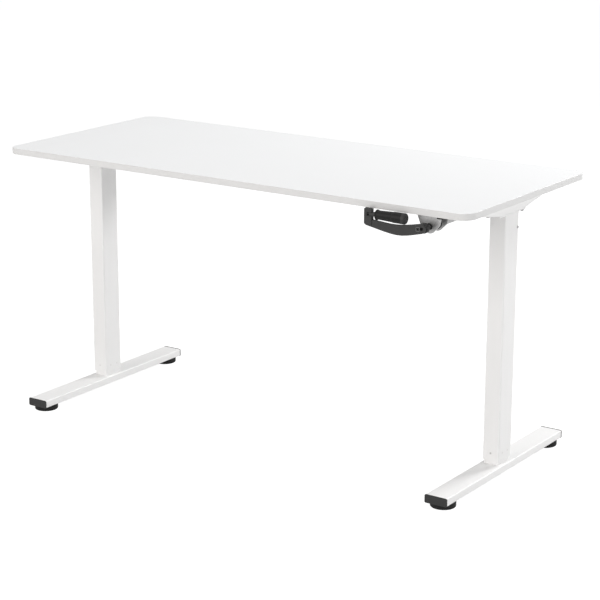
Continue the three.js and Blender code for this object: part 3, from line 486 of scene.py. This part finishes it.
def drawn_out(bm, rim, rise, width=1.0):
    """A rim is drawn along Z, its far end made wider or narrower. Returns the new rim."""
    grown = bmesh.ops.extrude_edge_only(bm, edges=rim)["geom"]
    verts = [item for item in grown if isinstance(item, bmesh.types.BMVert)]
    bmesh.ops.scale(bm, vec=(width, width, 1), verts=verts)
    bmesh.ops.translate(bm, vec=(0, 0, rise), verts=verts)
    return [item for item in grown if isinstance(item, bmesh.types.BMEdge)]


def socket_screw(place, axis, size):
    """A button head with a hexagon socket, which rises along the axis."""
    radius, height, key = (length * MM for length in size)
    bm = bmesh.new()
    foot = bmesh.ops.create_circle(bm, segments=32, radius=radius)["verts"]
    wall = drawn_out(bm, rim_of(foot), UPRIGHT_SHARE * height)
    crown = drawn_out(bm, wall, (1 - UPRIGHT_SHARE) * height, CROWN_WIDTH)
    hexagon = bmesh.ops.create_circle(bm, segments=6, radius=key)["verts"]
    bmesh.ops.translate(bm, vec=(0, 0, height), verts=hexagon)
    mouth = rim_of(hexagon)
    bmesh.ops.bridge_loops(bm, edges=crown + mouth)
    drawn_out(bm, mouth, -SOCKET_DEPTH * height)
    bmesh.ops.holes_fill(bm, edges=bm.edges, sides=0)
    return aimed(bm, axis, place)


def hex_screw(place, axis, size):
    """A hexagon head on a thin washer face, which rises along the axis."""
    radius, height, washer = size
    head = bmesh.new()
    bmesh.ops.create_cone(
        head, cap_ends=True, segments=6, radius1=radius * MM, radius2=radius * MM, depth=height * MM,
    )
    bmesh.ops.translate(head, vec=(0, 0, height / 2 * MM), verts=head.verts)
    soften(head, ROD_EDGE)
    profile = [
        (0, 0), (washer, 0), (washer, WASHER - WASHER_CHAMFER),
        (washer - WASHER_CHAMFER, WASHER), (0, WASHER),
    ]
    disc = turned(profile, UP, Vector(), steps=32)
    return aimed(gathered([head, disc]), axis, place)


def worktop_screw(place):
    """A screw driven up into the worktop's underside."""
    return socket_screw(place, -UP, WORKTOP_SCREW)


# ---------------------------------------------------------------- worktop

TOP_CORNER = 35 * MM
TOP_STEPS = 16
BAND = 1 * MM
BAND_EDGE = 0.8 * MM
BOARD_EDGE = 0.12 * MM


def outer_rim(bm):
    """Sharp edges of a ring whose upright face looks outwards."""
    middle = sum((vert.co for vert in bm.verts), Vector()) / len(bm.verts)
    found = []
    for edge in sharp_edges(bm):
        upright = min(edge.link_faces, key=lambda face: abs(face.normal.z))
        if upright.normal.dot(upright.calc_center_median() - middle) > 0:
            found.append(edge)
    return found


def add_worktop():
    low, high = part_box("desktop")
    board = bar(low, high, Z, TOP_CORNER - BAND, TOP_STEPS)
    piece("worktop_board", soften(board, BOARD_EDGE), "desktop")
    low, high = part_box("edge_band")
    band = tube(low, high, Z, TOP_CORNER, BAND, TOP_STEPS)
    bmesh.ops.recalc_face_normals(band, faces=band.faces)
    round_off(band, outer_rim(band), BAND_EDGE, steps=3)
    piece("worktop_edge", band, "edge_band")


# ---------------------------------------------------------------- legs

OUTER_CORNER = 4 * MM
INNER_CORNER = 3 * MM
COLUMN_WALL = 1.5 * MM
FOOT_CORNER = 3 * MM
FOOT_WALL = 2 * MM
CAP_FLANGE = 2 * MM
CAP_RIM = 0.8 * MM
CAP_EDGE = 0.5 * MM
CAP_PLUG = 14 * MM
PLUG_GAP = 0.3 * MM

# The levelling foot's stem, in millimetres.
STEM_LENGTH = 15
STEM_START = 0.1  # above the pad's top
THREAD_PITCH = 1.25
THREAD_ROOT = 3.35
THREAD_CREST = 3.95
STEM_TIP = 3.0
STEM_COLLAR = 4.4


def add_columns(side):
    for part, name, corner in (("outer", "upper", OUTER_CORNER), ("inner", "lower", INNER_CORNER)):
        node = f"{part}_column_{side}"
        column = tube(*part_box(node), Z, corner, COLUMN_WALL)
        piece(f"column_{side}_{name}", soften(column, TUBE_EDGE), node)


def foot_cap(low, high, outward):
    """A flat end plate with a plug behind it."""
    plate_low, plate_high = low.copy(), high.copy()
    if outward < 0:
        plate_high.y = low.y + CAP_FLANGE
    else:
        plate_low.y = high.y - CAP_FLANGE
    bm = bar(plate_low, plate_high, Y, FOOT_CORNER + CAP_RIM)
    inner = next(face for face in end_faces(bm, Y) if face.normal.y * outward < 0)
    outer = next(face for face in end_faces(bm, Y) if face.normal.y * outward > 0)
    round_off(bm, list(outer.edges), CAP_EDGE, steps=3)
    margin = CAP_RIM + FOOT_WALL + PLUG_GAP
    bmesh.ops.inset_region(bm, faces=[inner], thickness=margin, use_even_offset=True)
    pushed = bmesh.ops.extrude_discrete_faces(bm, faces=[inner])["faces"]
    bmesh.ops.translate(bm, vec=(0, -outward * CAP_PLUG, 0), verts=pushed[0].verts)
    bmesh.ops.remove_doubles(bm, verts=bm.verts, dist=WELD)
    return bm


def levelling_pad(node):
    place, radius, length = round_node(node, Z)
    top = length - STEM_LENGTH - STEM_START
    profile = [
        (0, 0), (radius - 2.2, 0), (radius - 1.4, 0.2), (radius - 0.3, 1.4), (radius, 2.2),
        (radius, top - 3.0), (radius - 0.5, top - 2.6), (radius - 0.5, top - 1.9),
        (radius, top - 1.5), (radius, top - 0.6), (radius - 0.6, top),
        (STEM_COLLAR, top), (STEM_COLLAR, top + 1), (0, top + 1),
    ]
    return turned(profile, UP, place, steps=72)


def threaded_stem(node):
    place, _, end = round_node(node, Z)
    start = end - STEM_LENGTH
    profile = [(0, start)]
    for turn in range(int(STEM_LENGTH / THREAD_PITCH)):
        root = start + turn * THREAD_PITCH
        profile += [(THREAD_ROOT, root), (THREAD_CREST, root + THREAD_PITCH / 2)]
    profile += [(THREAD_ROOT, end - 0.5), (STEM_TIP, end), (0, end)]
    return turned(profile, UP, place, steps=32)


def add_foot(side):
    low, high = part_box(f"foot_tube_{side}")
    foot = tube(low, high, Y, FOOT_CORNER, FOOT_WALL)
    piece(f"foot_{side}", foot, f"foot_tube_{side}")
    for end, outward in (("front", -1), ("back", 1)):
        node = f"foot_cap_{side}_{end}"
        piece(f"end_cap_{side}_{end}", foot_cap(*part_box(node), outward), node)
        node = f"levelling_foot_{side}_{end}"
        piece(f"pad_{side}_{end}", levelling_pad(node), node)
        body = f"leveller_{side}_{end}"
        piece(f"pad_stem_{side}_{end}", threaded_stem(node), body=body, slot="zinc_steel")


# Places of the leg's fasteners. Spreads are measured from the middle of the column.
GLIDE_SCREW_RISE = 19 * MM
GLIDE_PIN_SPREAD = 13 * MM
RETAINER_INSET = 5.5 * MM
RETAINER_DROP = 38 * MM
HEAD_BOLT_PLACES = ((-15 * MM, -56 * MM), (15 * MM, 57 * MM))
ARM_WALL = 2.5 * MM
ARM_SCREW_SPREAD = 12 * MM
ARM_SCREW_INSET = 8 * MM
FOOT_BOLT_SPREAD = 18 * MM


def add_column_fasteners(side):
    low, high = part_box(f"outer_column_{side}")
    centre = (low + high) / 2
    centre.z = low.z + GLIDE_SCREW_RISE
    pins = [socket_screw(Vector((centre.x, low.y, centre.z)), -BACK, GLIDE_SCREW)]
    for spread in (-GLIDE_PIN_SPREAD, GLIDE_PIN_SPREAD):
        for face, outward in ((low.x, -RIGHT), (high.x, RIGHT)):
            place = Vector((face, centre.y + spread, centre.z))
            pins.append(socket_screw(place, outward, GLIDE_PIN))
    piece(f"glide_screws_{side}", gathered(pins), body="upper_frame", slot="white_acetal")

    retainer = Vector((high.x, high.y - RETAINER_INSET, high.z - RETAINER_DROP))
    screw = hex_screw(retainer, RIGHT, GEARBOX_RETAINER)
    piece(f"gearbox_retainer_{side}", screw, body="upper_frame", slot="zinc_steel")


def add_head_fasteners(side, centre):
    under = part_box(f"head_plate_{side}")[0].z
    bolts = []
    for across, along in HEAD_BOLT_PLACES:
        place = Vector((centre.x + across, centre.y + along, under))
        bolts.append(hex_screw(place, -UP, HEAD_BOLT))
    piece(f"head_bolts_{side}", gathered(bolts), body="upper_frame", slot="crank_black_paint")

    low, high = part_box(f"side_arm_{side}")
    screws = []
    for spread in (-ARM_SCREW_SPREAD, ARM_SCREW_SPREAD):
        for end in (low.y + ARM_SCREW_INSET, high.y - ARM_SCREW_INSET):
            screws.append(worktop_screw(Vector((centre.x + spread, end, high.z - ARM_WALL))))
    piece(f"arm_screws_{side}", gathered(screws), body="upper_frame", slot="zinc_steel")


def add_foot_bolts(side, centre):
    node = f"foot_tube_{side}"
    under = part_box(node)[0].z
    bolts = []
    for spread in (-FOOT_BOLT_SPREAD, FOOT_BOLT_SPREAD):
        bolts.append(socket_screw(Vector((centre.x, centre.y + spread, under)), -UP, FOOT_BOLT))
    body = NODES[node]["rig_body"]
    piece(f"foot_bolts_{side}", gathered(bolts), body=body, slot="zinc_steel")


def add_leg_fasteners(side):
    low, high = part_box(f"outer_column_{side}")
    centre = (low + high) / 2
    add_column_fasteners(side)
    add_head_fasteners(side, centre)
    add_foot_bolts(side, centre)


def add_head(side):
    eased(f"arm_{side}", f"side_arm_{side}", FOLDED_EDGE)
    eased(f"plate_{side}", f"head_plate_{side}", PLATE_EDGE)
    eased(f"gearbox_{side}", f"gearbox_housing_{side}", MOULDED_EDGE)


# ---------------------------------------------------------------- rails and shaft

# Places along the rails: the locks from the left rails' inner ends, the screws from the desk's middle.
LOCK_INSETS = (16 * MM, 46 * MM)
RAIL_SCREWS = {"left": (-540 * MM, -300 * MM, -60 * MM), "right": (300 * MM, 470 * MM)}


def add_rails():
    for half in SIDES:
        for place in ("front", "rear"):
            eased(f"beam_{half}_{place}", f"rail_{half}_{place}", RAIL_EDGE)
    screws = []
    locks = []
    for place in ("front", "rear"):
        low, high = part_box(f"rail_left_{place}")
        middle = (low.y + high.y) / 2
        for inset in LOCK_INSETS:
            locks.append(socket_screw(Vector((high.x - inset, middle, low.z)), -UP, RAIL_LOCK))
        for half in SIDES:
            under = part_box(f"rail_{half}_{place}")[0].z
            for along in RAIL_SCREWS[half]:
                screws.append(worktop_screw(Vector((along, middle, under))))
    piece("rail_screws", gathered(screws), body="upper_frame", slot="zinc_steel")
    piece("rail_locks", gathered(locks), body="upper_frame", slot="crank_black_paint")
    eased("cross_bar", "hex_shaft", ROD_EDGE)


# ---------------------------------------------------------------- crank

BRACKET_THICKNESS = 3 * MM
BRACKET_SCREW_INSET = 8 * MM
BRACKET_SCREW_DEPTHS = (12 * MM, 60 * MM)  # from the bracket's back edge
HOUSING_FLANGE = 3 * MM
HOUSING_SCREW_INSETS = (8 * MM, 9 * MM)  # from the left edge, and from the front and back edges


def add_bracket():
    eased("crank_mount", "crank_bracket", PLATE_EDGE)
    low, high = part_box("crank_bracket")
    screws = []
    for across in (low.x + BRACKET_SCREW_INSET, high.x - BRACKET_SCREW_INSET):
        for depth in BRACKET_SCREW_DEPTHS:
            place = Vector((across, high.y - depth, high.z - BRACKET_THICKNESS))
            screws.append(worktop_screw(place))
    low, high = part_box("crank_gearbox_housing")
    inset_x, inset_y = HOUSING_SCREW_INSETS
    for along in (low.y + inset_y, high.y - inset_y):
        place = Vector((low.x + inset_x, along, high.z - HOUSING_FLANGE))
        screws.append(worktop_screw(place))
    piece("mount_screws", gathered(screws), body="upper_frame", slot="zinc_steel")
    eased("crank_gearbox", "crank_gearbox_housing", MOULDED_EDGE)


# Sizes of the turned parts, in millimetres.
BUSH_FLANGE_REACH = 0.8
BUSH_WALL = 2
COLLAR_BORE = 4.9
COLLAR_GROOVES = (4.0, 6.6)  # from its front end
GROOVE_WIDTH = 1.2
GROOVE_DEPTH = 0.7
GROOVE_SLOPE = 0.3
EASED_END = 0.8
DRIVE_BORE = 5.12
GRIP_BORE = 2.8
BOLT_SHANK = 2


def ring(node, outline, bore):
    """A turned sleeve about the crank's axis: its outline from front to back, and its bore."""
    place, _, length = round_node(node, Y)
    return turned(outline + [(bore, length), (bore, 0)], BACK, place, closed=True)


def add_bushes():
    for place in ("front", "rear"):
        node = f"crank_bush_{place}"
        _, flange, length = round_node(node, Y)
        body = flange - BUSH_FLANGE_REACH
        outline = [
            (body - 1, 0), (flange - 0.3, 0), (flange, 0.3), (flange, 0.9), (flange - 0.2, 1.2),
            (body, 1.2), (body, length - 0.5), (body - 0.4, length),
        ]
        piece(f"bush_{place}", ring(node, outline, body - BUSH_WALL), node)


def grooved(node, grooves):
    """The outline of a round part with small grooves, and edges eased at both ends."""
    _, radius, length = round_node(node, Y)
    outline = [(radius - EASED_END, 0), (radius, EASED_END)]
    for start in grooves:
        end = start + GROOVE_WIDTH
        outline += [
            (radius, start), (radius - GROOVE_DEPTH, start + GROOVE_SLOPE),
            (radius - GROOVE_DEPTH, end - GROOVE_SLOPE), (radius, end),
        ]
    return outline + [(radius, length - EASED_END), (radius - EASED_END, length)]


def add_crank():
    eased("crank_lever", "crank_arm", LEVER_EDGE, steps=3)
    collar = ring("crank_collar", grooved("crank_collar", COLLAR_GROOVES), COLLAR_BORE)
    piece("collar", collar, "crank_collar")
    drive = ring("drive_sleeve", grooved("drive_sleeve", ()), DRIVE_BORE)
    piece("drive_tube", drive, "drive_sleeve")
    eased("pull_rod", "crank_rod", ROD_EDGE)


def add_crank_bolt():
    place, _, length = round_node("arm_bolt", Y)
    head_height = ARM_BOLT_HEAD[1]
    seat = place + BACK * head_height * MM
    end = length - head_height
    profile = [(0, 0), (BOLT_SHANK, 0), (BOLT_SHANK, end - 0.6), (BOLT_SHANK - 0.6, end), (0, end)]
    head = socket_screw(seat, -BACK, ARM_BOLT_HEAD)
    piece("crank_bolt", gathered([head, turned(profile, BACK, seat, steps=24)]), "arm_bolt")


def add_fold_pin():
    place, radius, length = round_node("hinge_pin", Z)
    profile = [
        (0, 0), (radius - 0.3, 0), (radius, 0.3),
        (radius, length - 0.4), (radius - 0.4, length), (0, length),
    ]
    piece("fold_pin", turned(profile, UP, place, steps=32), "hinge_pin")


BUTTON_SHIFT = Vector((-9.5 * MM, 0, -1.5 * MM))  # from the bolt's axis
BUTTON_SEAT = 1.25 * MM  # behind the lever's front
BUTTON_HALF = Vector((5 * MM, 0, 5 * MM))  # half its width and height
BUTTON_RISE = Vector((0, 1.2 * MM, 0))
BUTTON_CORNER = 1.4 * MM
BUTTON_RIM = 1.3 * MM
BUTTON_GAP = 0.05 * MM
BUTTON_STEPS = 4
MIDDLE_CORNER = 0.6 * MM
DIMPLE_MARGIN = 2.0 * MM
DIMPLE_SLOPE = 0.4 * MM
DIMPLE_DEPTH = 0.5 * MM


def add_hub_button():
    """A small square button beside the bolt: a grey rim about a dark middle with a dimple."""
    low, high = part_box("arm_bolt")
    middle = (low + high) / 2 + BUTTON_SHIFT
    middle.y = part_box("crank_arm")[0].y + BUTTON_SEAT
    low = middle - BUTTON_HALF - BUTTON_RISE
    high = middle + BUTTON_HALF + BUTTON_RISE / 4
    rim = soften(tube(low, high, Y, BUTTON_CORNER, BUTTON_RIM, BUTTON_STEPS), TUBE_EDGE)
    piece("hub_button_rim", rim, body="crank_handle", slot="grey_housing_plastic")

    inside = Vector((BUTTON_RIM + BUTTON_GAP, 0, BUTTON_RIM + BUTTON_GAP))
    bm = bar(low + inside + BUTTON_RISE / 2, high - inside, Y, MIDDLE_CORNER, BUTTON_STEPS)
    face = next(face for face in end_faces(bm, Y) if face.normal.y < 0)
    for margin, depth in ((DIMPLE_MARGIN, 0), (DIMPLE_SLOPE, -DIMPLE_DEPTH)):
        bmesh.ops.inset_region(bm, faces=[face], thickness=margin, depth=depth, use_even_offset=True)
    piece("hub_button", bm, body="crank_handle", slot="black_plastic")


def add_grip():
    place, full, length = round_node("grip_sleeve", X)
    outline = [
        (full - 2.2, 0), (full - 1.0, 0.1), (full - 0.5, 0.6), (full - 0.5, 2.4),
        (full - 0.8, 2.9), (full - 1.6, 3.5), (full - 2.1, 4.8), (full - 2.2, 6.2),
        (full - 1.9, 15), (full - 1.5, 25), (full - 1.1, 35), (full - 0.85, 42), (full - 0.8, 44.8),
        (full - 0.6, 45.2), (full - 0.15, 46.1), (full, 46.6),
        (full, length - 0.5), (full - 0.25, length), (GRIP_BORE, length), (GRIP_BORE, 0),
    ]
    piece("grip", turned(outline, RIGHT, place, closed=True, steps=96), "grip_sleeve")


def add_grip_end():
    place, full, length = round_node("grip_cap", X)
    profile = [
        (0, 0), (full - 0.25, 0), (full, 0.5), (full, length - 3.2), (full - 0.4, length - 1.9),
        (full - 1.4, length - 0.7), (full - 2.8, length - 0.2), (full - 5.2, length - 0.05),
        (full - 5.6, length - 0.5), (full - 6.2, length - 0.5), (full - 6.6, length - 0.05),
        (0, length),
    ]
    piece("grip_end", turned(profile, RIGHT, place, steps=96), "grip_cap")


# ---------------------------------------------------------------- studio

FLOOR_GREY = 0.62  # what the floor sends back up at the desk
FLOOR_SHADE = 0.25  # how deep a shadow shows on the floor
FLOOR_GLOW = 0.94  # with this the floor is as white as the world behind it
FLOOR_REACH = 12
FLOOR_DROP = 0.1 * MM  # the gap between the pads and the floor
WORLD_LIGHT = 0.25  # what the desk gets from all round
WHITE = (1, 1, 1, 1)

# Each lamp's place and width in metres, its power in watts and its warmth.
LAMPS = {
    "front": ((-1.5, -4.0, 2.2), 3.0, 88, 0.018),
    "front_low": ((1.0, -4.2, 0.9), 2.0, 34, 0.018),
    "right": ((3.9, 0.2, 1.3), 1.8, 42, 0),
    "back": ((1.3, 3.0, 2.6), 1.0, 88, 0),
    "ceiling": ((0.3, -0.2, 4.2), 3.0, 29, 0),
}
LAMP_TARGET = Vector((0, 0, 0.4))


def white_to_the_eye(nodes, lit, shown):
    """The desk is lit by one shader, and the camera and gloss see another."""
    path = nodes.node("ShaderNodeLightPath").outputs
    camera, glossy, transmission = (
        Pattern(nodes, path[f"Is {kind} Ray"]) for kind in ("Camera", "Glossy", "Transmission")
    )
    sockets = {0: camera | glossy | transmission, 1: lit.outputs[0], 2: shown.outputs[0]}
    return nodes.node("ShaderNodeMixShader", None, sockets)


def floor_material():
    material = bpy.data.materials.new("studio_floor")
    nodes = Nodes(material)
    nodes.tree.nodes.clear()
    lit = nodes.node("ShaderNodeBsdfDiffuse", None, {"Color": (*grey(FLOOR_GREY), 1)})
    shade = nodes.node("ShaderNodeBsdfDiffuse", None, {"Color": (*grey(FLOOR_SHADE), 1)})
    glow = nodes.node("ShaderNodeEmission", None, {"Strength": FLOOR_GLOW})
    shown = nodes.node("ShaderNodeAddShader", None, {0: shade.outputs[0], 1: glow.outputs[0]})
    mix = white_to_the_eye(nodes, lit, shown)
    nodes.node("ShaderNodeOutputMaterial", None, {"Surface": mix.outputs[0]})
    return material


def add_floor():
    bm = bmesh.new()
    bmesh.ops.create_grid(bm, x_segments=1, y_segments=1, size=FLOOR_REACH)
    bmesh.ops.translate(bm, vec=(0, 0, -FLOOR_DROP), verts=bm.verts)
    mesh = bpy.data.meshes.new("floor")
    bm.to_mesh(mesh)
    bm.free()
    mesh.materials.append(floor_material())
    floor = bpy.data.objects.new("floor", mesh)
    bpy.context.scene.collection.objects.link(floor)


def add_world():
    world = bpy.data.worlds.new("studio")
    bpy.context.scene.world = world
    nodes = Nodes(world)
    nodes.tree.nodes.clear()
    lit = nodes.node("ShaderNodeBackground", None, {"Color": WHITE, "Strength": WORLD_LIGHT})
    shown = nodes.node("ShaderNodeBackground", None, {"Color": WHITE, "Strength": 1.0})
    mix = white_to_the_eye(nodes, lit, shown)
    nodes.node("ShaderNodeOutputWorld", None, {"Surface": mix.outputs[0]})


def add_lamp(name, place, width, power, warmth):
    data = bpy.data.lights.new(name, "AREA")
    data.shape = "SQUARE"
    data.size = width
    data.energy = power
    data.color = grey(1.0, warmth)
    lamp = bpy.data.objects.new(name, data)
    lamp.location = place
    aim = LAMP_TARGET - lamp.location
    lamp.rotation_euler = aim.to_track_quat("-Z", "Y").to_euler()
    bpy.context.scene.collection.objects.link(lamp)


add_worktop()
for side in SIDES:
    add_columns(side)
    add_foot(side)
    add_head(side)
    add_leg_fasteners(side)
add_rails()
add_bracket()
add_bushes()
add_crank()
add_crank_bolt()
add_fold_pin()
add_hub_button()
add_grip()
add_grip_end()
eased("grip_rod", "grip_spindle", TUBE_EDGE)

add_floor()
add_world()
for name, lamp in LAMPS.items():
    add_lamp(name, *lamp)
bpy.context.scene.view_settings.view_transform = "Standard"
